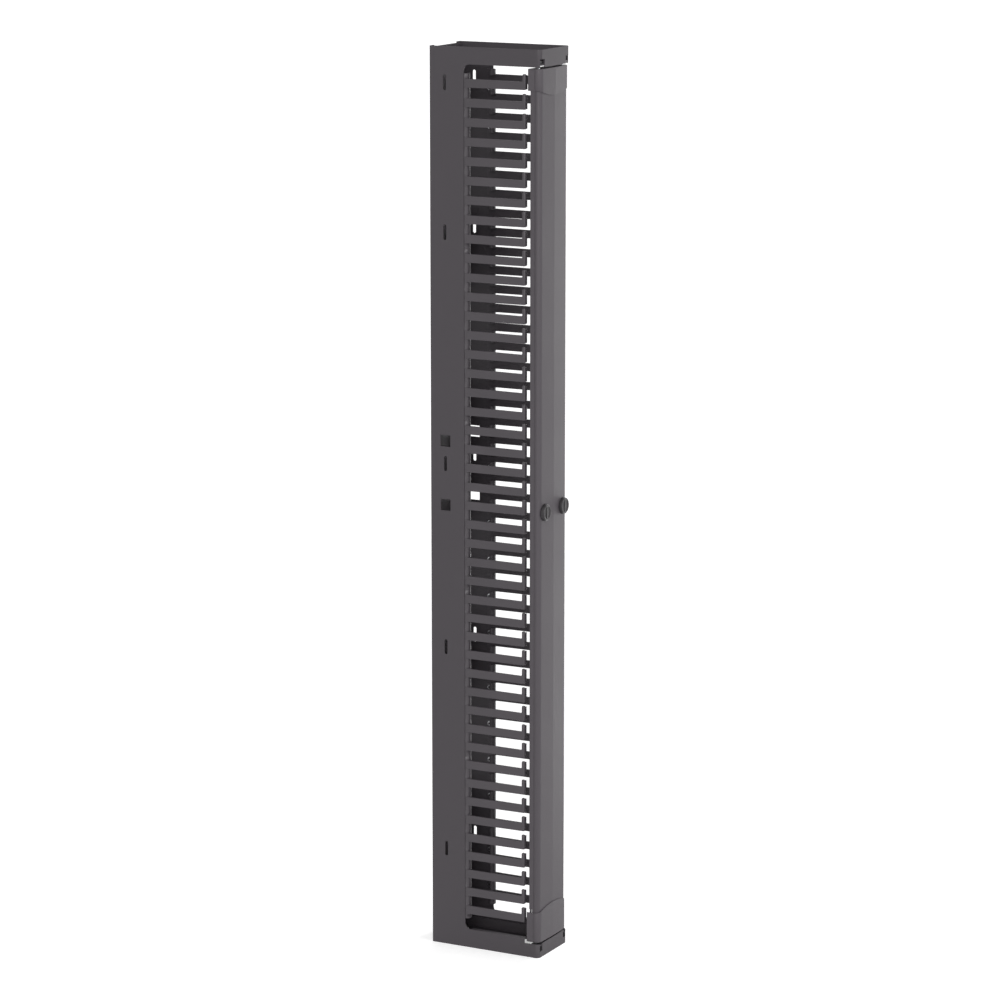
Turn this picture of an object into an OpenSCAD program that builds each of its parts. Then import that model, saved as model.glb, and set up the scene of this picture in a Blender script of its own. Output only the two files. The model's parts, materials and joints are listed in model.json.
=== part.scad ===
// Vertical cable manager with finger combs and a dual-latch door.
// Origin: centre of the footprint on the floor. X runs to the right, Y to the back, Z up.

/* [Frame] */
// Width over the side panels
body_w = 146; // [142:1:160]
// Depth from the front bands to the back
body_d = 284; // [276:1:300]
// Sheet thickness of the frame
sheet_t = 2; // [1.6:0.1:2.2]
// Height of the band above the door
head_h = 39.4; // [38:0.1:46]
// Height of the sill under the side openings
sill_h = 44.5; // [43:0.1:50]
// Height of the front band under the door
base_front_h = 33; // [32:0.5:34]
// Depth of the flat side panel behind the combs
panel_d = 87.5; // [80:0.5:92]
// Outer radius of the front corners
corner_r = 10; // [8:0.5:12]
// Radius in the rear corners of the side openings
window_r = 15; // [8:1:18]

/* [Finger combs] */
// Height from one finger to the next, one rack unit
pitch = 44.45; // [43:0.05:46]
// Height of a finger at its root
finger_root_h = 20; // [18:0.5:21]
// Height of a finger at its tip
finger_tip_h = 18.3; // [16:0.1:19]
// Thickness of a finger
finger_t = 4.5; // [3.6:0.1:5]
// Distance from the front plane to the finger tips
tip_setback = 39; // [38:0.5:44]
// Height of the lip that stands on a finger's tip
lip_h = 17.5; // [12:0.5:18]
// Width of the lip along the finger
lip_w = 7.5; // [6:0.5:9]
// Depth of the inward flange at the tip
tip_flange_d = 11; // [9:0.5:12]
// Radius of the rounded nose between two finger roots
nose_r = 9.8; // [8.5:0.1:10]
// Height of the lowest comb above the floor
comb_base_z = 69.9; // [69:0.1:75]
// Height left above the top comb
comb_head_gap = 60; // [58:0.1:66]

/* [Holes in the side panels] */
// Width of the square holes
square_w = 26; // [22:0.5:28]
// Height of the square holes
square_h = 27; // [22:0.5:30]
// Distance of the hole centres from the back
hole_row_d = 38; // [35:0.5:40]
// Width of the mounting slots
slot_w = 8; // [6:0.5:10]
// End-to-end length of the mounting slots
slot_l = 36; // [28:0.5:40]

/* [Door] */
// Gap beside the door panel at each side
door_inset = 5; // [5:0.5:7]
// Setback of the door's front behind the bands
door_recess = 2.5; // [2.5:0.5:4]
// Rise of the crease along the middle of the door
crease_h = 1.5; // [0.5:0.1:2]
// Outer radius of the door panel's corners
door_r = 10; // [10:0.5:12]
// Skin thickness of the door panel
door_t = 1.8; // [1.4:0.1:2]
// Depth of the door panel's sides
door_side_d = 25.5; // [25:0.5:26]
// Gap over and under the door
door_gap = 4; // [4:0.1:4.5]
// Height of the top end cap at its sides
top_cap_h = 49; // [45:1:70]
// Height of the bottom end cap at its sides
bottom_cap_h = 71; // [50:1:80]
// Extra height of an end cap at its middle
cap_rise = 12.5; // [6:0.5:14]
// Wall that an end cap stands proud of the door panel
cap_t = 2; // [1.6:0.1:2.2]
// How much deeper than the panel an end cap is
cap_extra_d = 5.5; // [3:0.5:6]

/* [Latch] */
// Height of the knobs above the floor
knob_z = 1067; // [1050:1:1080]
// Distance of each knob's axis from the rods beside it
knob_offset = 12; // [12:0.1:12.5]
// Knob diameter
knob_d = 39; // [34:0.5:40]
// Knob height in front of the door
knob_h = 8; // [6:0.5:10]
// Gear module of pinions and racks
gear_m = 1.5; // [1.4:0.05:1.5]
// Diameter of the latch rods
rod_d = 6; // [5:0.1:6]
// Diameter of the knob shafts
shaft_d = 8; // [7:0.1:9]

/* [Hidden] */
$fn = 48;

steel = [0.32, 0.31, 0.32];
plastic = [0.30, 0.29, 0.30];
door_grey = [0.42, 0.41, 0.42];
knob_grey = [0.22, 0.21, 0.22];
zinc = [0.66, 0.67, 0.68];

// Clearances
seat = 0.3;        // between pieces that only lie beside each other
run_fit = 0.05;    // radial, between a shaft and its bush
backlash = 0.3;    // play between pinion and rack teeth
eps = 0.01;        // overlap that makes unions sound

// Frame
combs = 5;
fingers_per_comb = 9;
comb_h = fingers_per_comb * pitch;
body_h = comb_base_z + combs * comb_h + comb_head_gap;
hw = body_w / 2;
front_y = -body_d / 2;
back_y = body_d / 2;
inner_x = hw - sheet_t;
root_y = back_y - panel_d;
arc_x = hw - corner_r;
arc_y = front_y + corner_r;
head_z = body_h - head_h;
flange_w = 16;                            // rear flange of a side panel
lip_flange_w = 10;                        // flange along the edges of the side openings
back_t = 1.6;
back_in_y = back_y - sheet_t - back_t;

// Combs
finger_out = hw - 1;                      // outer face of the fingers
comb_root_y = root_y - seat;
finger_root_y = comb_root_y - 0.4;        // the fingers start inside the spine
finger_l = finger_root_y - (front_y + tip_setback);
tip_y = front_y + tip_setback;
arm_step_y = tip_y - 1;                   // the sill steps down in front of this, for the door
comb_t = 3;                               // wall of the spine and of the noses
nose_x = finger_out - nose_r;
nose_y = comb_root_y - 0.2;
nose_over = 1.5;                          // how far a nose runs behind the fingers beside it
comb_flange_d = 15;                       // depth of the spine behind the side panel's edge
stud_y = root_y + comb_flange_d / 2;
stud_r = 2.5;
stud_l = 9;
stud_gaps = [1, 3, 6, 8];                 // gaps of a comb behind which the studs stand

// Door
door_hw = hw - door_inset;
door_front_y = front_y + door_recess;
hinge_x = door_hw - door_r;
knob_x = hinge_x - knob_offset;
hinge_y = door_front_y + door_r;
door_rear_y = door_front_y + door_side_d;
door_z0 = base_front_h + door_gap;
door_z1 = head_z - door_gap;
cap_wall = 3;
cap_fit = 0.2;
panel_z0 = door_z0 + cap_wall + seat;
panel_z1 = door_z1 - cap_wall - seat;
groove_y = hinge_y + 1.2;                 // front edge of the groove along the door's sides
groove_w = 3.6;
groove_deep = 0.9;
groove_rib = 1;                           // how far the rib behind the groove stands inwards
hem_relief_h = 8.5;                       // cut-out over the bottom cap in the panel's rear edge
hem_relief_d = 7;

// Latch: a quarter turn of the pinion moves each rod by a quarter of its pitch circle
pinion_teeth = 12;
gear_pa = 25;
pitch_r = gear_m * pinion_teeth / 2;
travel = pitch_r * PI / 2;
rod_r = rod_d / 2;
rod_y = hinge_y;
gear_pitch = PI * gear_m;
addendum = gear_m;
dedendum = 1.25 * gear_m;
rack_t = 7;                               // thickness of the racks along Y
rack_w = 4.6;                             // width of a rack behind its teeth
rack_teeth = 7;                           // two at rest on one side of the shaft, the rest beyond it
pinion_t = 9;
shaft_r = shaft_d / 2;
skin_in_y = door_front_y + door_t;        // inner face of the door skin at its sides
plate_y = rod_y + 7;                      // front face of a latch bracket's plate
plate_t = 2;
bracket_half_h = 56;
jog_h = 7;                                // crossbar that takes a lower rack over to its rod
pin_reach = 17;                           // how far a locked rod stands out of its end cap
bush_r = 6;
bush_l = 8;
bracket_t = 3;
bracket_d = 24;
bracket_rear_y = front_y + sheet_t + bracket_d;
top_bracket_z = head_z + 3.4;
bottom_bracket_z = base_front_h - 3 - bracket_t;
notch_in = 10.4;                          // notches in both bands, from the corner arc inwards
notch_out = 7;                            // and from there round the corner
notch_h = 18;
base_notch_in = 9;
base_notch_out = 3;

module on_side(side) {
  if (side < 0) mirror([1, 0, 0]) children();
  else children();
}

// A box between two corners
module box(a, b) {
  translate(a) cube([b[0] - a[0], b[1] - a[1], b[2] - a[2]]);
}

// A concave fillet in the YZ plane: rises from its corner towards +Z * up and -Y
module edge_fillet(x0, x1, y, z, r, up) {
  difference() {
    box([x0, y - r, up > 0 ? z : z - r], [x1, y, up > 0 ? z + r : z]);
    translate([x0 - 1, y - r, z + up * r])
      rotate([0, 90, 0]) cylinder(r = r, h = x1 - x0 + 2);
  }
}

module slot_x(y, z, w, l, x0, x1) {
  translate([x0, y, z]) rotate([0, 90, 0]) linear_extrude(x1 - x0) union() {
    translate([l / 2 - w / 2, 0]) circle(d = w);
    translate([-l / 2 + w / 2, 0]) circle(d = w);
    square([l - w, w], center = true);
  }
}

// ---- Side panels ----

function stud_z(i, k) = comb_base_z + (combs - i) * comb_h + k * pitch;
slot_offsets = [982.5, 639.4, 99.5, -338.1, -829.1];   // slot centres from mid-height
square_offsets = [152.8, 1.6];                         // square hole centres from mid-height
hole_y = back_y - hole_row_d;
back_screw_x = inner_x - flange_w / 2;
back_screw_rows = 6;
back_screw_end = 70;                                   // from the outermost screws to either end
function back_screw_z(i) = back_screw_end + i * (body_h - 2 * back_screw_end) / (back_screw_rows - 1);
function comb_z(i) = comb_base_z + (combs - i) * comb_h;
function finger_z(i, k) = comb_z(i) + (k + 0.5) * pitch;

// Arm of a side panel with its rounded front corner
module panel_arm(z0, z1, y_end) {
  box([inner_x, arc_y, z0], [hw, y_end, z1]);
  translate([arc_x, arc_y, z0]) difference() {
    intersection() {
      cylinder(r = corner_r, h = z1 - z0);
      box([0, -corner_r, 0], [corner_r, 0, z1 - z0]);
    }
    translate([0, 0, -1]) cylinder(r = corner_r - sheet_t, h = z1 - z0 + 2);
  }
}

// Notch in the rounded corner, from the band's end outwards
module corner_notch(w, z, h) {
  box([arc_x - 1, front_y - 1, z - 1], [arc_x + w, front_y + corner_r / 2 + 2, z + h]);
}

module side_panel() {
  difference() {
    union() {
      box([inner_x, root_y, 0], [hw, back_y, body_h]);
      box([inner_x - flange_w, back_y - sheet_t, 0], [hw, back_y, body_h]);
      panel_arm(head_z, body_h, root_y + eps);
      box([inner_x, arm_step_y, 0], [hw, root_y + eps, sill_h]);
      panel_arm(0, base_front_h, arm_step_y + eps);
      edge_fillet(inner_x, hw, root_y, sill_h, window_r, 1);
      edge_fillet(inner_x, hw, root_y, head_z, window_r, -1);
      box([inner_x - lip_flange_w, arm_step_y, sill_h - sheet_t], [hw, root_y - window_r, sill_h]);
      box([inner_x - lip_flange_w, arm_step_y, head_z], [hw, root_y - window_r, head_z + sheet_t]);
      for (i = [1:combs], k = stud_gaps)
        translate([inner_x - stud_l, stud_y, stud_z(i, k)])
          rotate([0, 90, 0]) cylinder(r = stud_r, h = stud_l + eps);
    }
    corner_notch(notch_out, head_z, notch_h);
    corner_notch(base_notch_out, base_front_h - notch_h, notch_h + 1);
    for (z = square_offsets)
      box([inner_x - 1, hole_y - square_w / 2, body_h / 2 + z - square_h / 2],
          [hw + 1, hole_y + square_w / 2, body_h / 2 + z + square_h / 2]);
    for (z = slot_offsets)
      slot_x(hole_y, body_h / 2 + z, slot_w, slot_l, inner_x - 1, hw + 1);
    for (i = [0:back_screw_rows - 1])
      translate([back_screw_x, back_y + eps, back_screw_z(i)]) rotate([90, 0, 0])
        cylinder(r1 = screw_head_r + run_fit, r2 = screw_r + run_fit, h = sheet_t + 2 * eps);
  }
}

module left_side_panel() { color(steel) on_side(-1) side_panel(); }
module right_side_panel() { color(steel) on_side(1) side_panel(); }

// ---- Back panel ----

port_w = body_w - 54;
port_h = 250;
port_r = 20;
port_offsets = [795, 380, -183, -600];    // port centres from mid-height, between the side holes
back_end = 3;                             // gap under and over the back panel
screw_r = 2;
screw_head_r = 3.6;

module back_panel() {
  color(steel) difference() {
    box([-inner_x + seat, back_in_y, back_end], [inner_x - seat, back_y - sheet_t, body_h - back_end]);
    for (z = port_offsets) translate([0, back_y, body_h / 2 + z]) rotate([90, 0, 0])
      linear_extrude(2 * (sheet_t + back_t)) union() {
        square([port_w - 2 * port_r, port_h], center = true);
        square([port_w, port_h - 2 * port_r], center = true);
        for (x = [-1, 1], y = [-1, 1])
          translate([x * (port_w / 2 - port_r), y * (port_h / 2 - port_r)]) circle(r = port_r);
      }
    for (s = [-1, 1], i = [0:back_screw_rows - 1])
      translate([s * back_screw_x, back_y, back_screw_z(i)]) rotate([90, 0, 0])
        cylinder(r = screw_r + run_fit, h = 2 * (sheet_t + back_t));
  }
}

module back_screws() {
  color(zinc) for (s = [-1, 1], i = [0:back_screw_rows - 1])
    translate([s * back_screw_x, back_y, back_screw_z(i)]) rotate([90, 0, 0]) {
      cylinder(r1 = screw_head_r, r2 = screw_r, h = sheet_t);
      cylinder(r = screw_r, h = sheet_t + back_t + 3);
    }
}

// ---- Head and base frames ----

ring_h = 28;
ring_flange = 12;
ring_top = 4;                             // the head ring ends this far under the top
gusset_x = hinge_x - 12;                  // outer face of the gussets over the hinge bracket
upstand_y = bracket_rear_y - sheet_t;     // upturned rear edge that ties the bracket to the head ring
anchor_x = hw - 21;
anchor_y0 = front_y + 48;
anchor_y1 = back_y - 26;
anchor_r = 5.5;
floor_t = 2.5;
floor_port_w = body_w - 58;
floor_port_l = anchor_y1 - anchor_y0 - 26;
floor_port_r = 15;

// Cuts a plate clear of the rounded corner of the side panel
module corner_relief(s, h) {
  translate([s * arc_x, arc_y, -1]) difference() {
    box([s > 0 ? 0 : -20, -20, 0], [s > 0 ? 20 : 0, 0, h + 2]);
    translate([0, 0, -1]) cylinder(r = corner_r - sheet_t - seat, h = h + 4);
  }
}

// Plate behind the front band with the seats of the two hinge bushes
module hinge_bracket(z) {
  translate([0, 0, z]) difference() {
    box([-inner_x + seat, front_y + sheet_t - eps, 0],
        [inner_x - seat, bracket_rear_y, bracket_t]);
    for (s = [-1, 1]) {
      translate([s * hinge_x, hinge_y, -1]) cylinder(r = bush_r + run_fit, h = bracket_t + 2);
      corner_relief(s, bracket_t);
    }
  }
}

module top_frame() {
  z0 = body_h - ring_h - ring_top;
  z1 = body_h - ring_top;
  color(steel) union() {
    difference() {
      union() {
        box([-arc_x, front_y, head_z], [arc_x, front_y + sheet_t, body_h]);
        box([-arc_x, front_y + sheet_t - eps, z0], [arc_x, front_y + 2 * sheet_t, z1]);
      }
      for (m = [0, 1]) mirror([m, 0, 0])
        box([arc_x - notch_in, front_y - 1, head_z - 1],
            [arc_x + 1, front_y + 2 * sheet_t + 1, head_z + notch_h]);
    }
    hinge_bracket(top_bracket_z);
    box([-inner_x, arc_y, z0], [-inner_x + sheet_t, back_in_y, z1]);
    box([inner_x - sheet_t, arc_y, z0], [inner_x, back_in_y, z1]);
    box([-inner_x, back_in_y - sheet_t, z0], [inner_x, back_in_y, z1]);
    box([-inner_x + seat, upstand_y, top_bracket_z], [inner_x - seat, bracket_rear_y, z0 + sheet_t]);
    difference() {
      box([-inner_x, upstand_y, z0], [inner_x, back_in_y, z0 + sheet_t]);
      box([-inner_x + ring_flange, bracket_rear_y - eps, z0 - 1],
          [inner_x - ring_flange, back_in_y - ring_flange, z0 + sheet_t + 1]);
    }
    for (m = [0, 1]) mirror([m, 0, 0])
      box([gusset_x - sheet_t, front_y + sheet_t, top_bracket_z],
          [gusset_x, bracket_rear_y, z0 + sheet_t]);
  }
}

module bottom_frame() {
  color(steel) union() {
    difference() {
      box([-inner_x, arc_y, 0], [inner_x, back_in_y, floor_t]);
      translate([0, (anchor_y0 + anchor_y1) / 2, -1]) linear_extrude(floor_t + 2) union() {
        square([floor_port_w - 2 * floor_port_r, floor_port_l], center = true);
        square([floor_port_w, floor_port_l - 2 * floor_port_r], center = true);
        for (x = [-1, 1], y = [-1, 1])
          translate([x * (floor_port_w / 2 - floor_port_r), y * (floor_port_l / 2 - floor_port_r)])
            circle(r = floor_port_r);
      }
      for (s = [-1, 1], y = [anchor_y0, anchor_y1])
        translate([s * anchor_x, y, -1]) cylinder(r = anchor_r, h = floor_t + 2);
    }
    difference() {
      box([-arc_x, front_y, 0], [arc_x, front_y + sheet_t, base_front_h]);
      for (m = [0, 1]) mirror([m, 0, 0])
        box([arc_x - base_notch_in, front_y - 1, base_front_h - notch_h],
            [arc_x + 1, front_y + sheet_t + 1, base_front_h + 1]);
    }
    box([-arc_x, front_y + sheet_t - eps, 0], [arc_x, arc_y + eps, floor_t]);
    box([-inner_x, arc_y, 0], [-inner_x + sheet_t, back_in_y, ring_h]);
    box([inner_x - sheet_t, arc_y, 0], [inner_x, back_in_y, ring_h]);
    box([-inner_x, back_in_y - sheet_t, 0], [inner_x, back_in_y, ring_h]);
    hinge_bracket(bottom_bracket_z);
  }
}

// Flanged bush; its flange lies on the bracket's inner side
module hinge_bush() {
  difference() {
    union() {
      cylinder(r = bush_r, h = bush_l);
      translate([0, 0, bracket_t]) cylinder(r = bush_r + 2, h = bush_l - bracket_t);
    }
    translate([0, 0, -1]) cylinder(r = rod_r + run_fit, h = bush_l + 2);
  }
}

module hinge_bushes() {
  color(knob_grey) for (s = [-1, 1]) {
    translate([s * hinge_x, hinge_y, top_bracket_z]) hinge_bush();
    translate([s * hinge_x, hinge_y, bottom_bracket_z + bracket_t]) mirror([0, 0, 1]) hinge_bush();
  }
}

// ---- Finger combs ----

root_fillet = 4;
end_fillet = 12;
lip_fillet = 3;
lip_round = 2.5;
tip_r = 3;           // rounded front edge of a tip, in plan
flange_t = 2.8;      // thickness of the inward flange at a tip

function arc(cx, cy, r, a0, a1, n) = [for (i = [0:n]) let (a = a0 + (a1 - a0) * i / n)
  [cx + r * cos(a), cy + r * sin(a)]];

// Outline of a finger in its own plane: x runs from the root to the tip, y up
function finger_outline(low_fillet, high_fillet) = let (
  rh = finger_root_h / 2,
  th = finger_tip_h / 2,
  top = th + lip_h,
  neck = finger_l - lip_w
) concat(
  arc(low_fillet, -rh - low_fillet, low_fillet, 180, 90, 5),
  arc(finger_l - lip_round, -th + lip_round, lip_round, -90, 0, 4),
  arc(finger_l - lip_round, top - lip_round, lip_round, 0, 90, 4),
  arc(neck + lip_round, top - lip_round, lip_round, 90, 180, 4),
  arc(neck - lip_fillet, th + lip_fillet, lip_fillet, 0, -90, 4),
  arc(high_fillet, rh + high_fillet, high_fillet, -90, -180, 5)
);

// Finger with its lip, the inward flange at its tip and a rounded front edge
module finger(low_fillet, high_fillet) {
  difference() {
    union() {
      translate([finger_out - finger_t, finger_root_y, 0]) rotate([90, 0, -90]) mirror([0, 0, 1])
        linear_extrude(finger_t) polygon(finger_outline(low_fillet, high_fillet));
      box([finger_out - tip_flange_d, tip_y, -finger_tip_h / 2 + 1],
          [finger_out - finger_t + 1, tip_y + flange_t, finger_tip_h / 2 + lip_h - lip_round]);
    }
    translate([finger_out - tip_r, tip_y + tip_r, -pitch]) difference() {
      translate([0, -tip_r - 1, 0]) cube([tip_r + 1, tip_r + 1, 2 * pitch]);
      translate([0, 0, -1]) cylinder(r = tip_r, h = 2 * pitch + 2);
    }
  }
}

// Spine along the finger roots, in plan: it stands in front of the side panel and runs in behind it
module spine_plan() {
  translate([finger_out - comb_t, nose_y - eps]) square([comb_t, comb_root_y - nose_y + eps]);
  translate([inner_x - comb_t, nose_y - eps]) square([comb_t, comb_flange_d]);
}

// Rounded nose between two fingers, in plan: a half round, open to the back
module nose_plan() {
  difference() {
    translate([nose_x, nose_y]) circle(r = nose_r, $fn = 72);
    translate([nose_x, nose_y]) circle(r = nose_r - comb_t, $fn = 72);
    translate([nose_x - 2 * nose_r, nose_y]) square([4 * nose_r, 2 * nose_r]);
  }
  translate([nose_x - nose_r + comb_t / 2, nose_y - eps]) circle(d = comb_t);
}

// Where the nose in gap k of a comb starts and ends; the outer gaps are shared with the next comb
function nose_z0(k) = k == 0 ? seat / 2 : (k - 0.5) * pitch + finger_root_h / 2 - nose_over;
function nose_z1(k) = k == fingers_per_comb ? comb_h - seat / 2
  : (k + 0.5) * pitch - finger_root_h / 2 + nose_over;

module fingers(side, i) {
  color(plastic) on_side(side) difference() {
    union() {
      translate([0, 0, comb_z(i) + seat / 2]) linear_extrude(comb_h - seat) spine_plan();
      for (k = [0:fingers_per_comb])
        translate([0, 0, comb_z(i) + nose_z0(k)]) linear_extrude(nose_z1(k) - nose_z0(k)) nose_plan();
      for (k = [0:fingers_per_comb - 1]) translate([0, 0, finger_z(i, k)]) {
        low = i == combs && k == 0 ? end_fillet : root_fillet;
        finger(low, root_fillet);
      }
    }
    for (k = stud_gaps) translate([inner_x - comb_t - 1, stud_y, stud_z(i, k)])
      rotate([0, 90, 0]) cylinder(r = stud_r + run_fit, h = comb_t + 2);
  }
}

module left_fingers_1() { fingers(-1, 1); }
module left_fingers_2() { fingers(-1, 2); }
module left_fingers_3() { fingers(-1, 3); }
module left_fingers_4() { fingers(-1, 4); }
module left_fingers_5() { fingers(-1, 5); }
module right_fingers_1() { fingers(1, 1); }
module right_fingers_2() { fingers(1, 2); }
module right_fingers_3() { fingers(1, 3); }
module right_fingers_4() { fingers(1, 4); }
module right_fingers_5() { fingers(1, 5); }

nut_af = 8;
nut_h = 4;
module comb_nuts() {
  color(zinc) for (s = [-1, 1], i = [1:combs], k = stud_gaps) on_side(s)
    translate([inner_x - comb_t, stud_y, stud_z(i, k)]) rotate([0, -90, 0]) difference() {
      union() {
        cylinder(r = 0.7 * nut_af, h = nut_h / 4);
        cylinder(d = nut_af / cos(30), h = nut_h, $fn = 6);
      }
      translate([0, 0, -1]) cylinder(r = stud_r + run_fit, h = nut_h + 2);
    }
}

// ---- Door ----

// Outline of the door in plan, moved outwards by o, as an open path from the rear left
function door_path(o, rear) = concat(
  [[-door_hw - o, rear]],
  arc(-hinge_x, hinge_y, door_r + o, 180, 270, 10),
  [[0, door_front_y - crease_h - o]],
  arc(hinge_x, hinge_y, door_r + o, 270, 360, 10),
  [[door_hw + o, rear]]
);
function reversed(p) = [for (i = [len(p) - 1:-1:0]) p[i]];

module door_shell(o, t, rear) {
  polygon(concat(door_path(o, rear), reversed(door_path(o - t, rear))));
}

hem_in = 9;                               // return flange along the door panel's rear edges
knob_bush_r = 6.5;
cap_tab_t = 2.5;
cap_tab_h = 34;
cap_screw_x = door_hw - 5;
cap_screw_r = 1.5;
latch_stud_x = knob_x - 24;               // studs that carry a latch bracket
latch_stud_dz = 40;
latch_stud_r = 2;

module door_panel() {
  color(door_grey) difference() {
    union() {
      translate([0, 0, panel_z0]) linear_extrude(panel_z1 - panel_z0) union() {
        door_shell(0, door_t, door_rear_y);
        for (m = [0, 1]) mirror([m, 0])
          translate([door_hw - hem_in, door_rear_y - door_t]) square([hem_in, door_t]);
        for (m = [0, 1]) mirror([m, 0])
          translate([door_hw - door_t - groove_rib, groove_y - groove_rib])
            square([groove_rib + eps, groove_w + 2 * groove_rib]);
      }
      for (s = [-1, 1], dz = [-latch_stud_dz, latch_stud_dz])
        translate([s * latch_stud_x, door_front_y + 0.4, knob_z + dz]) rotate([-90, 0, 0]) {
          cylinder(r = 2 * latch_stud_r, h = plate_y - door_front_y - 0.4);
          cylinder(r = latch_stud_r, h = plate_y - door_front_y + plate_t + 4.5);
        }
    }
    for (m = [0, 1]) mirror([m, 0, 0]) {
      box([door_hw - groove_deep, groove_y, panel_z0 - 1],
          [door_hw + 1, groove_y + groove_w, panel_z1 + 1]);
      box([door_hw - door_t - 1, door_rear_y - hem_relief_d, door_z0 + bottom_cap_h - 2],
          [door_hw + 1, door_rear_y + 1, door_z0 + bottom_cap_h + hem_relief_h]);
    }
    for (s = [-1, 1]) translate([s * knob_x, door_front_y - 5, knob_z])
      rotate([-90, 0, 0]) cylinder(r = knob_bush_r + run_fit, h = 12);
    for (s = [-1, 1], z = cap_screw_zs)
      translate([s * cap_screw_x, door_rear_y + 1, z])
        rotate([90, 0, 0]) cylinder(r = cap_screw_r + run_fit, h = door_t + 3);
  }
}

cap_rear_y = door_rear_y + cap_extra_d;
cap_skin = cap_t - cap_fit;
cap_screw_zs = [door_z0 + cap_tab_h - 8, door_z1 - cap_tab_h + 8];
// Radius of the arched edge, from its chord over the cap's width and its rise
cap_arch_r = (pow(door_hw + cap_t, 2) + cap_rise * cap_rise) / (2 * cap_rise);

// End cap with its closed end at z = 0 and its arched edge up; h is its height at the sides
module door_cap(h) {
  difference() {
    union() {
      intersection() {
        linear_extrude(h + cap_rise) door_shell(cap_t, cap_skin, cap_rear_y);
        translate([0, 0, h + cap_rise - cap_arch_r]) rotate([90, 0, 0])
          cylinder(r = cap_arch_r, h = 2 * body_d, center = true, $fn = 240);
      }
      linear_extrude(cap_wall) polygon(door_path(cap_t, cap_rear_y));
      for (s = [-1, 1]) translate([s * hinge_x, hinge_y, 0]) cylinder(r = rod_r + 3, h = 12);
      for (m = [0, 1]) mirror([m, 0, 0])
        box([door_hw - hem_in, door_rear_y, cap_wall - eps],
            [door_hw + cap_t, door_rear_y + cap_tab_t, cap_tab_h]);
    }
    for (m = [0, 1]) mirror([m, 0, 0])
      box([door_hw + cap_t - groove_deep, groove_y, -1],
          [door_hw + cap_t + 1, groove_y + groove_w, h + cap_rise]);
    for (s = [-1, 1]) {
      translate([s * hinge_x, hinge_y, -1]) cylinder(r = rod_r + run_fit, h = 14);
      translate([s * cap_screw_x, door_rear_y + 2 * cap_tab_t, cap_tab_h - 8])
        rotate([90, 0, 0]) cylinder(r = cap_screw_r + run_fit, h = 3 * cap_tab_t);
    }
  }
}

module door_top_cap() {
  color(door_grey) translate([0, 0, door_z1]) mirror([0, 0, 1]) door_cap(top_cap_h);
}
module door_bottom_cap() {
  color(door_grey) translate([0, 0, door_z0]) door_cap(bottom_cap_h);
}

module cap_screws() {
  color(zinc) for (s = [-1, 1], z = cap_screw_zs)
    translate([s * cap_screw_x, door_rear_y + cap_tab_t, z]) {
      rotate([90, 0, 0]) cylinder(r = cap_screw_r, h = cap_tab_t + door_t + 1);
      rotate([-90, 0, 0]) cylinder(r1 = 3, r2 = 2.4, h = 1.6);
    }
}

// ---- Latches: one quarter-turn knob per side, seen here on the right ----

latch_wall_in = knob_x - pitch_r - dedendum - rack_w - seat;   // guides the lower rack's back
latch_wall_out = knob_x + pitch_r + dedendum + rack_w + seat;  // guides the upper rack's back
wall_front_y = rod_y - 5.5;

module latch_bracket() {
  difference() {
    union() {
      box([latch_stud_x - 6, plate_y, knob_z - bracket_half_h],
          [latch_wall_out + plate_t, plate_y + plate_t, knob_z + bracket_half_h]);
      box([latch_wall_in - plate_t, wall_front_y, knob_z - bracket_half_h],
          [latch_wall_in, plate_y + eps, knob_z + bracket_half_h]);
      box([latch_wall_out, wall_front_y, knob_z - bracket_half_h],
          [latch_wall_out + plate_t, plate_y + eps, knob_z + bracket_half_h]);
      for (z = [-bracket_half_h, bracket_half_h - plate_t])
        box([latch_wall_in - eps, wall_front_y, knob_z + z],
            [latch_wall_out + eps, plate_y + eps, knob_z + z + plate_t]);
    }
    translate([hinge_x, rod_y, knob_z - bracket_half_h - 1])
      cylinder(r = rod_r + seat, h = 2 * bracket_half_h + 2);
    translate([knob_x, plate_y - 1, knob_z]) rotate([-90, 0, 0])
      cylinder(r = shaft_r + run_fit, h = plate_t + 2);
    for (dz = [-latch_stud_dz, latch_stud_dz])
      translate([latch_stud_x, plate_y - 1, knob_z + dz]) rotate([-90, 0, 0])
        cylinder(r = latch_stud_r + run_fit, h = plate_t + 2);
  }
}

module left_latch_bracket() { color(zinc) on_side(-1) latch_bracket(); }
module right_latch_bracket() { color(zinc) on_side(1) latch_bracket(); }

module latch_nuts() {
  color(zinc) for (s = [-1, 1], dz = [-latch_stud_dz, latch_stud_dz])
    translate([s * latch_stud_x, plate_y + plate_t, knob_z + dz]) rotate([-90, 0, 0]) difference() {
      cylinder(d = 7 / cos(30), h = 3.2, $fn = 6);
      translate([0, 0, -1]) cylinder(r = latch_stud_r + run_fit, h = 6);
    }
}

// Guides that stand on the door skin and hold the rods in line
guide_rows = [0.12, 0.3, 0.7, 0.88];
guide_r = rod_r + 2.5;
guide_l = 14;
module rod_guides() {
  color(plastic) for (s = [-1, 1], f = guide_rows) on_side(s)
    translate([0, 0, door_z0 + f * (door_z1 - door_z0) - guide_l / 2]) difference() {
      union() {
        box([hinge_x - guide_r - 5, skin_in_y + 0.15, 0], [hinge_x - 1, rod_y, guide_l]);
        translate([hinge_x, rod_y, 0]) cylinder(r = guide_r, h = guide_l);
      }
      translate([hinge_x, rod_y, -1]) cylinder(r = rod_r + seat, h = guide_l + 2);
    }
}

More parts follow.
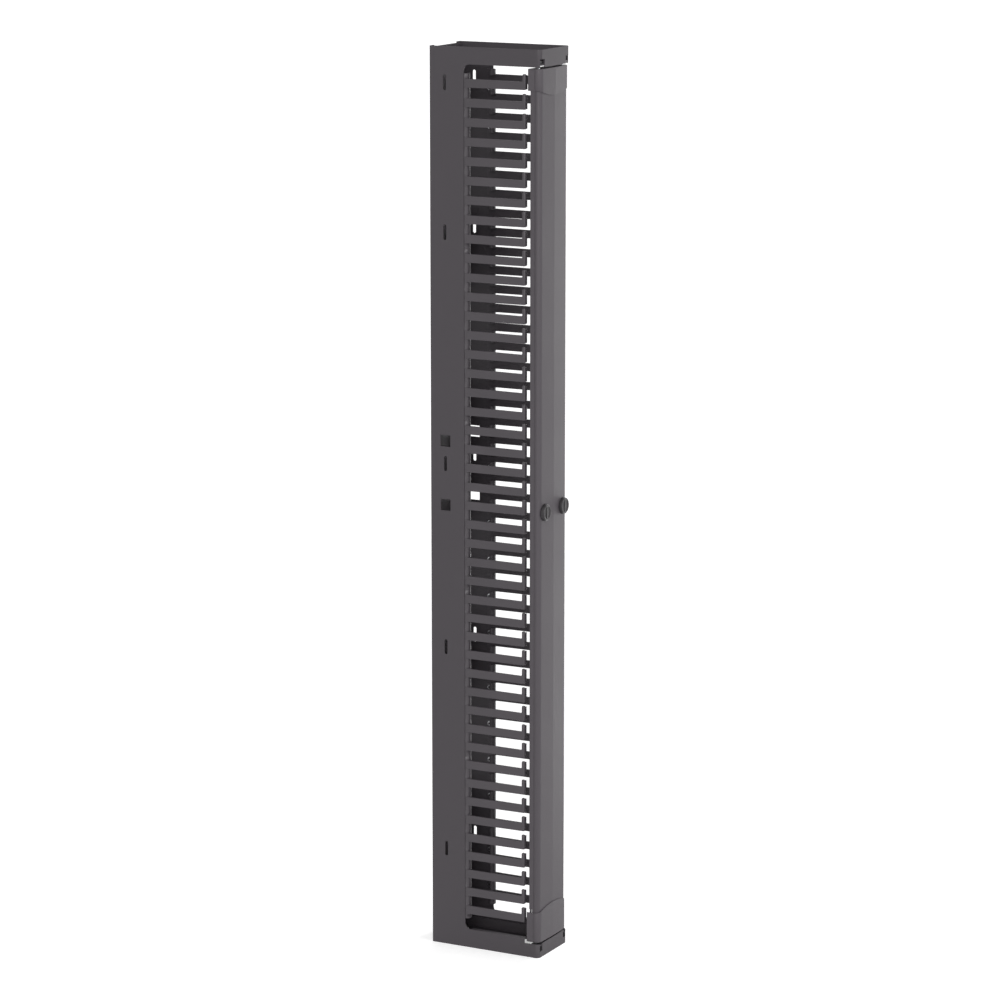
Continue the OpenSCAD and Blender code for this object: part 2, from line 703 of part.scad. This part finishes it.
knob_rear_y = door_front_y - crease_h * (1 - (knob_x - knob_d / 2) / hinge_x) - 0.4;
module knob_bushes() {
  color(knob_grey) for (s = [-1, 1]) translate([s * knob_x, 0, knob_z]) rotate([-90, 0, 0])
    difference() {
      union() {
        translate([0, 0, door_front_y]) cylinder(r = knob_bush_r, h = door_t + 1);
        translate([0, 0, skin_in_y + 0.1]) cylinder(r = knob_bush_r + 2.5, h = 1.6);
      }
      translate([0, 0, knob_rear_y]) cylinder(r = shaft_r + run_fit, h = 20);
    }
}

flat_in = 1.2;        // depth of the flat on the shaft that drives the pinion
clip_t = 1;
clip_y = plate_y + plate_t + seat;
groove_r = shaft_r - 0.8;
knob_edge = 1.5;
dish_r = knob_d / 2 - 4.5;

// Knob with its shaft, turned about its own axis; z runs to the back here
module knob_body() {
  difference() {
    union() {
      rotate_extrude($fn = 72) polygon([
        [0, -knob_h + 1.4], [dish_r - 2, -knob_h + 1.4], [dish_r, -knob_h],
        [knob_d / 2 - knob_edge - 1, -knob_h], [knob_d / 2 - 0.8, -knob_h + knob_edge],
        [knob_d / 2, -0.6], [knob_d / 2 - 0.6, 0], [0, 0]
      ]);
      translate([-2.5, -dish_r + 1, -knob_h]) cube([5, 2 * dish_r - 2, 3]);
      cylinder(r = shaft_r, h = clip_y + clip_t + 2 - knob_rear_y);
    }
    translate([-shaft_r, shaft_r - flat_in, rod_y - pinion_t / 2 - knob_rear_y])
      cube([2 * shaft_r, shaft_r, plate_y - rod_y + pinion_t / 2 - seat / 2]);
    translate([0, 0, clip_y - knob_rear_y]) difference() {
      cylinder(r = shaft_r + 1, h = clip_t + 0.1);
      translate([0, 0, -1]) cylinder(r = groove_r, h = clip_t + 3);
    }
  }
}
module knob() {
  translate([knob_x, knob_rear_y, knob_z]) rotate([-90, 0, 0]) knob_body();
}
module left_knob() { color(knob_grey) on_side(-1) knob(); }
module right_knob() { color(knob_grey) on_side(1) knob(); }

module knob_clip() {
  translate([knob_x, clip_y, knob_z]) rotate([-90, 0, 0]) linear_extrude(clip_t) difference() {
    circle(r = shaft_r + 2.6);
    circle(r = groove_r + run_fit);
    translate([-groove_r, 0]) square([2 * groove_r, 2 * shaft_r]);
  }
}
module left_knob_clip() { color(zinc) on_side(-1) knob_clip(); }
module right_knob_clip() { color(zinc) on_side(1) knob_clip(); }

// Involute of the pinion's teeth: half-angle of a tooth at radius r, in degrees
base_r = pitch_r * cos(gear_pa);
function inv(a) = tan(a) * 180 / PI - a;
function half_tooth(r) = 90 / pinion_teeth - backlash / 4 / pitch_r * 180 / PI
  + inv(gear_pa) - inv(acos(min(1, base_r / r)));
function polar(r, a) = [r * cos(a), r * sin(a)];
flank_steps = 4;
root_r = pitch_r - dedendum;
tip_circle_r = pitch_r + addendum;
function flank_r(i) = base_r + (tip_circle_r - base_r) * i / flank_steps;
pinion_points = [for (k = [0:pinion_teeth - 1]) let (a = k * 360 / pinion_teeth) each concat(
  [polar(root_r, a - half_tooth(base_r))],
  [for (i = [0:flank_steps]) polar(flank_r(i), a - half_tooth(flank_r(i)))],
  [for (i = [flank_steps:-1:0]) polar(flank_r(i), a + half_tooth(flank_r(i)))],
  [polar(root_r, a + half_tooth(base_r))]
)];

module pinion() {
  translate([knob_x, rod_y - pinion_t / 2, knob_z]) rotate([-90, 0, 0]) difference() {
    union() {
      linear_extrude(pinion_t) polygon(pinion_points);
      cylinder(r = root_r - 0.4, h = plate_y - rod_y + pinion_t / 2 - seat);
    }
    translate([0, 0, -1]) difference() {
      cylinder(r = shaft_r + run_fit, h = 2 * pinion_t);
      translate([-shaft_r - 1, shaft_r - flat_in + run_fit, -1])
        cube([2 * shaft_r + 2, shaft_r, 2 * pinion_t + 2]);
    }
  }
}
module left_pinion() { color(zinc) on_side(-1) pinion(); }
module right_pinion() { color(zinc) on_side(1) pinion(); }

// Rack teeth in the XZ plane: they point to -X from a pitch line at x = 0
module rack_teeth_plan(k0) {
  thin = gear_pitch / 4 - backlash / 4 - addendum * tan(gear_pa);
  wide = gear_pitch / 4 - backlash / 4 + dedendum * tan(gear_pa);
  for (k = [k0:k0 + rack_teeth - 1]) translate([0, (k + 0.5) * gear_pitch])
    polygon([[dedendum + eps, -wide], [-addendum, -thin], [-addendum, thin], [dedendum + eps, wide]]);
}

module rack(k0, z0, z1) {
  translate([0, rod_y + rack_t / 2, knob_z]) rotate([90, 0, 0]) linear_extrude(rack_t) union() {
    rack_teeth_plan(k0);
    translate([dedendum, z0]) square([rack_w, z1 - z0]);
  }
}

tooth_low = -2;                                    // first tooth of an upper rack, locked
rack_low = tooth_low * gear_pitch;
rack_high = (tooth_low + rack_teeth) * gear_pitch + 1;
jog_top = -rack_high - travel - 1.5;               // clear of the upper rack when both are drawn in
pin_chamfer = 1.2;

// Rod between two heights with a chamfered end; up is 1 when the free end points up
module rod(z_in, z_tip, up) {
  translate([hinge_x, rod_y, 0]) union() {
    translate([0, 0, min(z_in, z_tip - up * pin_chamfer)])
      cylinder(r = rod_r, h = abs(z_tip - up * pin_chamfer - z_in));
    translate([0, 0, z_tip - up * pin_chamfer]) rotate([up > 0 ? 0 : 180, 0, 0])
      cylinder(r1 = rod_r, r2 = rod_r - 0.8, h = pin_chamfer);
  }
}

module upper_rod(locked) {
  translate([0, 0, locked ? 0 : -travel]) union() {
    translate([knob_x + pitch_r, 0, 0]) rack(tooth_low, rack_low, rack_high);
    box([knob_x + pitch_r + dedendum, rod_y - rack_t / 2, knob_z + rack_high - eps],
        [knob_x + pitch_r + dedendum + rack_w, rod_y + rack_t / 2, knob_z + rack_high + 4]);
    rod(knob_z + rack_high, door_z1 + pin_reach, 1);
  }
}

module lower_rod(locked) {
  translate([0, 0, locked ? 0 : travel]) union() {
    translate([knob_x - pitch_r, 0, 0]) mirror([1, 0, 0])
      rack(-tooth_low - rack_teeth, jog_top - jog_h, -rack_low);
    box([knob_x - pitch_r - dedendum - rack_w, rod_y - rack_t / 2, knob_z + jog_top - jog_h],
        [hinge_x + rod_r, rod_y + rack_t / 2, knob_z + jog_top]);
    rod(knob_z + jog_top - jog_h / 2, door_z0 - pin_reach, -1);
  }
}

// The left rods are drawn in and the right ones locked, so the door turns on the right-hand pins
module left_upper_rod() { color(zinc) on_side(-1) upper_rod(false); }
module left_lower_rod() { color(zinc) on_side(-1) lower_rod(false); }
module right_upper_rod() { color(zinc) on_side(1) upper_rod(true); }
module right_lower_rod() { color(zinc) on_side(1) lower_rod(true); }

left_side_panel();
right_side_panel();
back_panel();
top_frame();
bottom_frame();
left_fingers_1();
left_fingers_2();
left_fingers_3();
left_fingers_4();
left_fingers_5();
right_fingers_1();
right_fingers_2();
right_fingers_3();
right_fingers_4();
right_fingers_5();
comb_nuts();
back_screws();
hinge_bushes();
door_panel();
door_top_cap();
door_bottom_cap();
cap_screws();
left_latch_bracket();
right_latch_bracket();
latch_nuts();
rod_guides();
knob_bushes();
left_knob();
right_knob();
left_pinion();
right_pinion();
left_knob_clip();
right_knob_clip();
left_upper_rod();
left_lower_rod();
right_upper_rod();
right_lower_rod();
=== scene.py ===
"""Vertical cable manager: looks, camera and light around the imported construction. Lengths in metres."""
import json
import math

import bmesh
import bpy
from mathutils import Matrix, Vector


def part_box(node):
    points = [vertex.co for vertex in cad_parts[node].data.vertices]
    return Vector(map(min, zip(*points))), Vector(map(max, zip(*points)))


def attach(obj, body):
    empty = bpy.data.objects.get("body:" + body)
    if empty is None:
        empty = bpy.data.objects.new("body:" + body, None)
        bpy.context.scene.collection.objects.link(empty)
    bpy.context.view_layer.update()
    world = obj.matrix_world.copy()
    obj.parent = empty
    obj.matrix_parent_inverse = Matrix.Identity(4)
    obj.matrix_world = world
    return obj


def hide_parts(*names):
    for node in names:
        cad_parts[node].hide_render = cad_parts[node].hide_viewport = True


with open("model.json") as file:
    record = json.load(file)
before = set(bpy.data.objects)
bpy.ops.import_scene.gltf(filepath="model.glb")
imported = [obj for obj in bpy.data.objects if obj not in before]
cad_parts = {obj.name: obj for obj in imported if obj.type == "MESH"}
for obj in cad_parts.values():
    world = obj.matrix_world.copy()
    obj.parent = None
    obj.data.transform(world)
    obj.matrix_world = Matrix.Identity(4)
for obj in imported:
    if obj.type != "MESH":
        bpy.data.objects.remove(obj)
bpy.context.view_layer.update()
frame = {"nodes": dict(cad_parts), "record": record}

MM = 0.001

# Edge rounding of each group of pieces
SHEET_EDGE = 0.35 * MM
MOULD_EDGE = 0.5 * MM
CAP_EDGE = 0.8 * MM
SMALL_EDGE = 0.25 * MM
METAL_EDGE = 0.15 * MM

# Colours, linear
COAT = (0.0415, 0.0360, 0.0415)
DOOR = (0.0550, 0.0480, 0.0550)
COMB = (0.0460, 0.0400, 0.0460)
CAP = (0.0570, 0.0500, 0.0570)
KNOB = (0.024, 0.022, 0.024)
BUSH = (0.022, 0.022, 0.024)
ZINC = (0.62, 0.63, 0.65)
BARE_STEEL = (0.40, 0.40, 0.41)

# Camera
CAMERA_AT = Vector((-7.655702, -4.028334, 2.832540))
CAMERA_AZIMUTH = math.radians(-62.251)
CAMERA_ELEVATION = math.radians(11.48529)
CAMERA_LENS = 136.3744

# Light
SKY_LEVEL = 0.62
FLOOR_WHITE = 0.90
FLOOR_LIFT = 0.32

SMOOTH_ANGLE = math.radians(32)
SHARP_ANGLE = math.radians(38)
COMB_ROOT_DEPTH = 27 * MM       # spine and noses at the rear of a comb
FLAT_AREA = 40 * MM * MM        # faces larger than this and wider than FLAT_WIDTH are flat ones,
FLAT_WIDTH = 2.8 * MM           # the rest belong to roundings


# ---- Shader maths ----

class Sock:
    """A shader output, with arithmetic that adds Math nodes."""

    def __init__(self, tree, out):
        self.tree = tree
        self.out = out

    def math(self, operation, other=0.0, clamp=False):
        node = self.tree.nodes.new("ShaderNodeMath")
        node.operation = operation
        node.use_clamp = clamp
        feed(self.tree, self, node.inputs[0])
        feed(self.tree, other, node.inputs[1])
        return Sock(self.tree, node.outputs[0])

    def __add__(self, other):
        return self.math("ADD", other)

    def __sub__(self, other):
        return self.math("SUBTRACT", other)

    def __mul__(self, other):
        return self.math("MULTIPLY", other)

    def __rmul__(self, other):
        return self.math("MULTIPLY", other)

    def __radd__(self, other):
        return self.math("ADD", other)

    def __rsub__(self, other):
        return (self * -1.0) + other

    def span(self, low, high, to_low=0.0, to_high=1.0):
        """Maps low..high onto to_low..to_high and clamps it."""
        node = self.tree.nodes.new("ShaderNodeMapRange")
        feed(self.tree, self, node.inputs["Value"])
        node.inputs["From Min"].default_value = low
        node.inputs["From Max"].default_value = high
        node.inputs["To Min"].default_value = to_low
        node.inputs["To Max"].default_value = to_high
        return Sock(self.tree, node.outputs[0])


def feed(tree, value, socket):
    if isinstance(value, Sock):
        tree.links.new(value.out, socket)
    elif isinstance(value, (tuple, list)) and len(value) == 3 and socket.type == "RGBA":
        socket.default_value = (*value, 1.0)
    else:
        socket.default_value = value


class Shader:
    """One material with a Principled shader and short calls for the nodes that feed it."""

    def __init__(self, name, **constants):
        self.material = bpy.data.materials.new(name)
        self.material.use_nodes = True
        self.tree = self.material.node_tree
        self.principled = self.tree.nodes["Principled BSDF"]
        for socket, value in constants.items():
            feed(self.tree, value, self.principled.inputs[socket.replace("_", " ")])
        self.place = self.node("TexCoord", out="Object")
        self.rim = self.node("Attribute", out="Fac", settings={"attribute_name": "rim"})

    def node(self, kind, out=0, settings=(), **inputs):
        node = self.tree.nodes.new("ShaderNode" + kind)
        for name, value in dict(settings).items():
            setattr(node, name, value)
        for name, value in inputs.items():
            feed(self.tree, value, node.inputs[name.replace("_", " ")])
        return Sock(self.tree, node.outputs[out])

    def noise(self, scale, detail=2.0, roughness=0.5, stretch=None):
        place = self.place
        if stretch:
            place = self.node("Mapping", Vector=place, Scale=stretch)
        return self.node("TexNoise", Vector=place, Scale=scale, Detail=detail, Roughness=roughness)

    def mix(self, factor, first, second):
        node = self.tree.nodes.new("ShaderNodeMix")
        node.data_type = "RGBA"
        feed(self.tree, factor, node.inputs[0])
        feed(self.tree, first, node.inputs[6])
        feed(self.tree, second, node.inputs[7])
        return Sock(self.tree, node.outputs[2])

    def bump(self, height, strength, distance):
        return self.node("Bump", Height=height, Strength=strength, Distance=distance)

    def to(self, **inputs):
        for name, value in inputs.items():
            feed(self.tree, value, self.principled.inputs[name.replace("_", " ")])
        return self.material


def scaled(colour, factor):
    return tuple(c * factor for c in colour)


# ---- Materials ----

def rubbed(shader, patches=90.0):
    """Where rounded edges have been rubbed by hands, cables and packing: 0 or 1 with soft limits."""
    return shader.rim * shader.noise(patches, detail=3.0, roughness=0.65).span(0.42, 0.62)


def powder_coat(name, colour, peel=0.22):
    """Baked powder coating: a fine orange peel, faint cloudiness and dust, polished on its edges."""
    shader = Shader(name, IOR=1.5, Specular_IOR_Level=0.42)
    peel_noise = shader.noise(620.0, detail=3.0, roughness=0.55)
    speckle = shader.noise(2400.0, detail=1.0)
    cloud = shader.noise(5.0, detail=3.0, roughness=0.6)
    scuff = shader.noise(28.0, detail=4.0, roughness=0.7, stretch=(1.0, 1.0, 0.22)).span(0.60, 0.74)
    worn = rubbed(shader)
    tint = cloud.span(0.3, 0.7) * 0.6 + speckle.span(0.35, 0.65) * 0.4
    base = shader.mix(tint, scaled(colour, 0.94), scaled(colour, 1.06))
    dusted = shader.mix(scuff * 0.35, base, scaled(colour, 1.22))
    return shader.to(
        Base_Color=shader.mix(worn * 0.6, dusted, scaled(colour, 1.7)),
        Roughness=cloud.span(0.25, 0.75, 0.55, 0.62) + scuff * 0.06 - worn * 0.12,
        Normal=shader.bump(peel_noise, peel, 0.0004),
    )


def moulded(name, colour, rough=0.60, grain=0.25, sheen=0.32):
    """Moulded engineering plastic: spark-eroded grain, faint flow streaks, edges burnished by cables."""
    shader = Shader(name, IOR=1.49, Specular_IOR_Level=sheen)
    spark = shader.noise(1500.0, detail=2.0, roughness=0.6)
    flow = shader.noise(12.0, detail=2.0, stretch=(1.0, 1.0, 0.35))
    handled = shader.noise(45.0, detail=4.0, roughness=0.7).span(0.58, 0.75)
    worn = rubbed(shader, 140.0)
    base = shader.mix(flow.span(0.3, 0.7), scaled(colour, 0.93), scaled(colour, 1.07))
    return shader.to(
        Base_Color=shader.mix(worn * 0.5, base, scaled(colour, 1.6)),
        Roughness=flow.span(0.3, 0.7, rough - 0.04, rough + 0.04) - handled * 0.08 - worn * 0.12,
        Normal=shader.bump(spark, grain, 0.00025),
    )


def zinc_plated(name):
    """Bright zinc plating: fine drawn grain, cloudy passivation, bare steel on rubbed edges."""
    shader = Shader(name, Metallic=1.0)
    cloud = shader.noise(60.0, detail=3.0)
    drawn = shader.noise(900.0, detail=2.0, stretch=(1.0, 1.0, 0.05))
    plated = shader.mix(cloud.span(0.3, 0.7), scaled(ZINC, 0.86), ZINC)
    return shader.to(
        Base_Color=shader.mix(rubbed(shader, 260.0) * 0.7, plated, BARE_STEEL),
        Roughness=cloud.span(0.25, 0.75, 0.28, 0.42),
        Normal=shader.bump(drawn, 0.12, 0.0001),
    )


# ---- Pieces made from the construction's own shapes ----

def body_of(node):
    for body, nodes in frame["record"]["behaviour"]["bodies"].items():
        if node in nodes:
            return body
    raise KeyError(node)


def slot_of(node):
    for entry in frame["record"]["subparts"]:
        if entry["node"] == node:
            return entry["material_slot"]
    raise KeyError(node)


def merged(node):
    """The node's own shape with its triangles joined into whole faces."""
    bm = bmesh.new()
    bm.from_mesh(frame["nodes"][node].data)
    bmesh.ops.remove_doubles(bm, verts=bm.verts, dist=2e-6)
    bmesh.ops.dissolve_limit(bm, angle_limit=math.radians(0.6), verts=bm.verts, edges=bm.edges)
    return bm


def sharp_edges(bm):
    return [e for e in bm.edges if len(e.link_faces) == 2 and e.calc_face_angle(0.0) > SHARP_ANGLE]


def round_edges(bm, edges, radius, clamp=True):
    """Rounds the edges and marks the new faces, so that wear can follow them."""
    rim = bm.faces.layers.float.new("rim")
    rounded = bmesh.ops.bevel(bm, geom=edges, offset=radius, offset_type="OFFSET", affect="EDGES",
                              segments=2, profile=0.5, clamp_overlap=clamp, material=-1)
    for face in rounded["faces"]:
        face[rim] = 1.0


def is_flat(face):
    """Whether a face is part of a flat wall, and not a narrow facet of a rounding."""
    area = face.calc_area()
    return area > FLAT_AREA and area > FLAT_WIDTH * max(edge.calc_length() for edge in face.edges)


def finished(bm, node, material):
    """Turns the mesh under work into the piece that stands for the node, on the node's body."""
    mesh = bpy.data.meshes.new(node + "_dressed")
    bm.faces.ensure_lookup_table()
    flat = [is_flat(face) for face in bm.faces]
    bm.to_mesh(mesh)
    bm.free()
    piece = bpy.data.objects.new(node + "_dressed", mesh)
    bpy.context.scene.collection.objects.link(piece)
    mesh.materials.append(material)
    mesh.set_sharp_from_angle(angle=SMOOTH_ANGLE)
    for polygon, walled in zip(mesh.polygons, flat):
        polygon.use_smooth = not walled
    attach(piece, body_of(node))
    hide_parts(node)
    slot_of(node)
    return piece


def softened(node, material, radius):
    """The node's own shape with its sharp edges rounded."""
    bm = merged(node)
    round_edges(bm, sharp_edges(bm), radius)
    return finished(bm, node, material)


def softened_comb(node, material, radius):
    """A comb with the edges of its fingers rounded, in front of the spine and the noses."""
    bm = merged(node)
    free_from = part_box(node)[1][1] - COMB_ROOT_DEPTH
    bmesh.ops.bisect_plane(bm, geom=[*bm.verts, *bm.edges, *bm.faces], plane_co=(0.0, free_from, 0.0),
                           plane_no=(0.0, 1.0, 0.0), dist=1e-6)
    free = [e for e in sharp_edges(bm)
            if max(v.co.y for v in e.verts) < free_from + 1e-6 and e.calc_length() > 0.3 * MM]
    round_edges(bm, free, radius, clamp=False)
    bmesh.ops.dissolve_degenerate(bm, dist=1e-5, edges=bm.edges)
    return finished(bm, node, material)


def solids_of(node):
    """The lowest and highest corners of each loose solid of a node."""
    bm = bmesh.new()
    bm.from_mesh(frame["nodes"][node].data)
    bmesh.ops.remove_doubles(bm, verts=bm.verts, dist=2e-6)
    left = set(bm.verts)
    boxes = []
    while left:
        island = []
        front = [left.pop()]
        while front:
            vert = front.pop()
            island.append(vert.co.copy())
            for edge in vert.link_edges:
                other = edge.other_vert(vert)
                if other in left:
                    left.remove(other)
                    front.append(other)
        boxes.append([Vector([pick(co[axis] for co in island) for axis in range(3)])
                      for pick in (min, max)])
    bm.free()
    return boxes


def lobed_screw(profile, recess_radius, recess_depth):
    """One screw at the origin with its head's top at y = 0, its shank towards -y and a six-lobe recess."""
    bm = bmesh.new()
    verts = [bm.verts.new((radius, y, 0.0)) for radius, y in profile]
    edges = [bm.edges.new(pair) for pair in zip(verts, verts[1:])]
    bmesh.ops.spin(bm, geom=verts + edges, cent=(0, 0, 0), axis=(0, 1, 0), angle=math.tau, steps=36,
                   use_merge=True)
    bmesh.ops.holes_fill(bm, edges=[e for e in bm.edges if e.is_boundary], sides=0)
    bmesh.ops.recalc_face_normals(bm, faces=bm.faces)
    head = max(bm.faces, key=lambda face: face.calc_center_median().y)
    bmesh.ops.inset_region(bm, faces=[head], thickness=profile[0][0] - recess_radius)
    for vert in head.verts:
        lobe = 1.0 + 0.16 * math.cos(6.0 * math.atan2(vert.co.z, vert.co.x))
        vert.co.x *= lobe
        vert.co.z *= lobe
    floor = bmesh.ops.extrude_discrete_faces(bm, faces=[head])["faces"][0]
    bmesh.ops.translate(bm, verts=floor.verts, vec=(0.0, -recess_depth, 0.0))
    bmesh.ops.scale(bm, verts=floor.verts, vec=(0.86, 1.0, 0.86))
    mesh = bpy.data.meshes.new("screw")
    bm.to_mesh(mesh)
    bm.free()
    return mesh


def screws(node, material, profile, recess_radius, recess_depth):
    """Screws with driven heads in the places of the node's own, heads to the rear."""
    one = lobed_screw(profile, recess_radius, recess_depth)
    bm = bmesh.new()
    for low, high in solids_of(node):
        known = set(bm.verts)
        bm.from_mesh(one)
        new = [v for v in bm.verts if v not in known]
        turn = Matrix.Rotation(low.z * 7.0, 3, "Y")
        bmesh.ops.rotate(bm, verts=new, cent=(0, 0, 0), matrix=turn)
        bmesh.ops.translate(bm, verts=new, vec=((low.x + high.x) / 2, high.y, (low.z + high.z) / 2))
    return finished(bm, node, material)


# ---- Camera, floor and light ----

def look(azimuth, elevation):
    """Turn of a camera or lamp that looks at the object from this direction."""
    back = Vector((math.sin(azimuth) * math.cos(elevation),
                   -math.cos(azimuth) * math.cos(elevation), math.sin(elevation)))
    right = Vector((math.cos(azimuth), math.sin(azimuth), 0.0))
    up = back.cross(right)
    return Matrix((right, up, back)).transposed().to_4x4()


def make_camera():
    data = bpy.data.cameras.new("camera")
    data.lens = CAMERA_LENS
    data.sensor_width = 36.0
    data.clip_end = 500.0
    camera = bpy.data.objects.new("camera", data)
    camera.matrix_world = Matrix.Translation(CAMERA_AT) @ look(CAMERA_AZIMUTH, CAMERA_ELEVATION)
    bpy.context.scene.collection.objects.link(camera)
    bpy.context.scene.camera = camera


def seen_directly(shader):
    """1 for what the camera sees straight, in a mirror or through glass, 0 for light that falls on things."""
    rays = [shader.node("LightPath", out=kind)
            for kind in ("Is Camera Ray", "Is Glossy Ray", "Is Transmission Ray")]
    return rays[0].math("MAXIMUM", rays[1]).math("MAXIMUM", rays[2])


def make_floor():
    bm = bmesh.new()
    bmesh.ops.create_grid(bm, x_segments=1, y_segments=1, size=120.0)
    mesh = bpy.data.meshes.new("floor")
    bm.to_mesh(mesh)
    bm.free()
    floor = bpy.data.objects.new("floor", mesh)
    bpy.context.scene.collection.objects.link(floor)
    shader = Shader("floor_white", Roughness=0.9, Base_Color=(FLOOR_WHITE,) * 3, Emission_Strength=1.0)
    lift = shader.mix(seen_directly(shader), (0.0, 0.0, 0.0), (FLOOR_LIFT,) * 3)
    mesh.materials.append(shader.to(Emission_Color=lift))


def add_lamp(name, data, place):
    lamp = bpy.data.objects.new(name, data)
    lamp.matrix_world = place
    lamp.visible_camera = False
    bpy.context.scene.collection.objects.link(lamp)


def make_sun(name, azimuth, elevation, spread, strength):
    """Broad soft light from one direction, even over the whole floor."""
    data = bpy.data.lights.new(name, "SUN")
    data.angle = math.radians(spread)
    data.energy = strength
    add_lamp(name, data, look(math.radians(azimuth), math.radians(elevation)))


def make_strip(name, at, azimuth, width, height, power):
    """Upright strip lamp that looks level towards the object from the given azimuth."""
    data = bpy.data.lights.new(name, "AREA")
    data.shape = "RECTANGLE"
    data.size = width
    data.size_y = height
    data.energy = power
    add_lamp(name, data, Matrix.Translation(Vector(at)) @ look(math.radians(azimuth), 0.0))


def make_world():
    """White where it is seen, and a plain level where it lights."""
    world = bpy.data.worlds.new("studio")
    bpy.context.scene.world = world
    world.use_nodes = True
    tree = world.node_tree
    path = tree.nodes.new("ShaderNodeLightPath")
    seen = Sock(tree, path.outputs["Is Camera Ray"])
    for kind in ("Is Glossy Ray", "Is Transmission Ray"):
        seen = seen.math("MAXIMUM", Sock(tree, path.outputs[kind]))
    feed(tree, seen.span(0.0, 1.0, SKY_LEVEL, 1.0), tree.nodes["Background"].inputs["Strength"])
    tree.nodes["Background"].inputs["Color"].default_value = (1.0, 1.0, 1.0, 1.0)
    bpy.context.scene.view_settings.view_transform = "Standard"


# ---- The object ----

coat = powder_coat("powder_coat", COAT)
door_coat = powder_coat("door_coat", DOOR)
comb_plastic = moulded("comb_plastic", COMB, rough=0.44, sheen=0.45)
cap_plastic = moulded("cap_plastic", CAP, rough=0.54, sheen=0.42)
knob_plastic = moulded("knob_plastic", KNOB, rough=0.45)
bush_plastic = moulded("bush_plastic", BUSH, rough=0.5)
zinc = zinc_plated("zinc_plate")

FINISH = {
    "powder_coat": (coat, SHEET_EDGE),
    "door_coat": (door_coat, SHEET_EDGE),
    "finger_plastic": (comb_plastic, MOULD_EDGE),
    "cap_plastic": (cap_plastic, CAP_EDGE),
    "knob_plastic": (knob_plastic, SMALL_EDGE),
    "bush_plastic": (bush_plastic, SMALL_EDGE),
    "zinc_plate": (zinc, METAL_EDGE),
}

# Outlines of the screws from the head's rim to the tip, as radius and height
COUNTERSUNK = [(3.6 * MM, 0.0), (2.0 * MM, -2.0 * MM), (2.0 * MM, -6.1 * MM), (1.5 * MM, -6.6 * MM)]
PAN_HEAD = [(1.9 * MM, 0.0), (2.5 * MM, -0.3 * MM), (2.9 * MM, -1.1 * MM), (3.0 * MM, -1.6 * MM),
            (1.5 * MM, -1.6 * MM), (1.5 * MM, -6.5 * MM), (1.2 * MM, -6.9 * MM)]

screws("back_screws", zinc, COUNTERSUNK, 1.55 * MM, 1.3 * MM)
screws("cap_screws", zinc, PAN_HEAD, 1.2 * MM, 0.9 * MM)

for node_name in frame["nodes"]:
    if "_fingers_" in node_name:
        softened_comb(node_name, *FINISH[slot_of(node_name)])
    elif node_name not in ("back_screws", "cap_screws"):
        softened(node_name, *FINISH[slot_of(node_name)])

make_camera()
make_floor()
make_sun("left_key", -66.0, 24.0, 30.0, 1.5)
make_sun("front_fill", -5.0, 20.0, 50.0, 0.80)
make_strip("right_strip", (1.1, -0.25, 0.9), 84.0, 0.2, 2.6, 12.0)
make_world()
